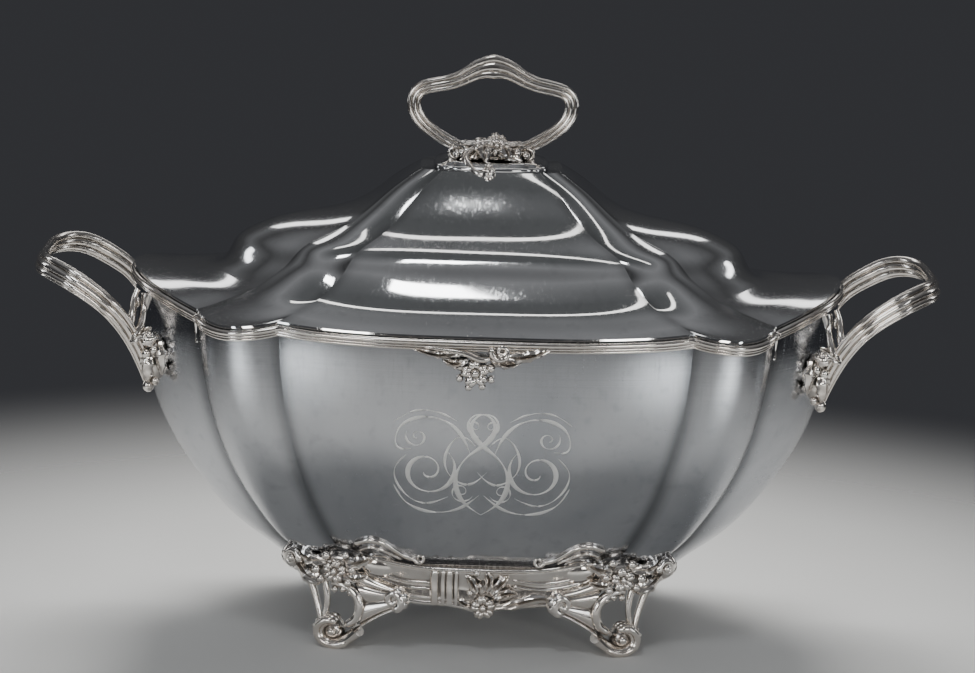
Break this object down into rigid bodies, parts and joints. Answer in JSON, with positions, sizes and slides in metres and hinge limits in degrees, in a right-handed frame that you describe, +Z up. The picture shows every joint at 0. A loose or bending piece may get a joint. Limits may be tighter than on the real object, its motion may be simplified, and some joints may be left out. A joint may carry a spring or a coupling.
{
  "type": "soup tureen",
  "caption": "Lobed oval silver soup tureen with scroll feet, reeded loop handles and a domed lift-off lid topped by a reeded loop finial.",
  "frame": {"origin": "on the resting plane, under the middle of the four toes", "axes": "+X along the handle-to-handle length, +Y from the front panel to the back, +Z up"},
  "size_m": [0.3968, 0.182, 0.2513],
  "materials": {
    "bowl_satin_silver": "satin, finely brushed, faint tarnish",
    "lid_polished_silver": "mirror polished, light wear",
    "cast_silver": "polished casting with dark oxide in the recesses",
    "fastener_brass": "dull, unplated"
  },
  "bodies": {
    "bowl_body": {"base_apron_back": "cast_silver", "base_apron_front": "cast_silver", "base_band_left": "cast_silver", "base_band_right": "cast_silver", "bowl": "bowl_satin_silver", "foot_back_left": "cast_silver", "foot_back_right": "cast_silver", "foot_front_left": "cast_silver", "foot_front_right": "cast_silver", "handle_left": "cast_silver", "handle_mount_back_left": "cast_silver", "handle_mount_back_right": "cast_silver", "handle_mount_front_left": "cast_silver", "handle_mount_front_right": "cast_silver", "handle_right": "cast_silver", "handle_strut_back_left": "cast_silver", "handle_strut_back_right": "cast_silver", "handle_strut_front_left": "cast_silver", "handle_strut_front_right": "cast_silver", "rim_border_back": "cast_silver", "rim_border_back_left": "cast_silver", "rim_border_back_right": "cast_silver", "rim_border_front": "cast_silver", "rim_border_front_left": "cast_silver", "rim_border_front_right": "cast_silver", "rim_border_left": "cast_silver", "rim_border_right": "cast_silver", "rim_cusp_beads": "cast_silver", "rocaille_back": "cast_silver", "rocaille_front": "cast_silver"},
    "lid_body": {"finial_buds": "cast_silver", "finial_foliage": "cast_silver", "finial_loop": "cast_silver", "finial_nut": "fastener_brass", "finial_stud": "fastener_brass", "finial_washer": "fastener_brass", "lid": "lid_polished_silver", "lid_bezel": "lid_polished_silver", "lid_top_step": "lid_polished_silver"}
  },
  "joints": [
    {"name": "lid_lift", "type": "slide", "parent": "bowl_body", "child": "lid_body", "axis": [0, 0, 1], "range_m": [0, 0.12]}
  ]
}
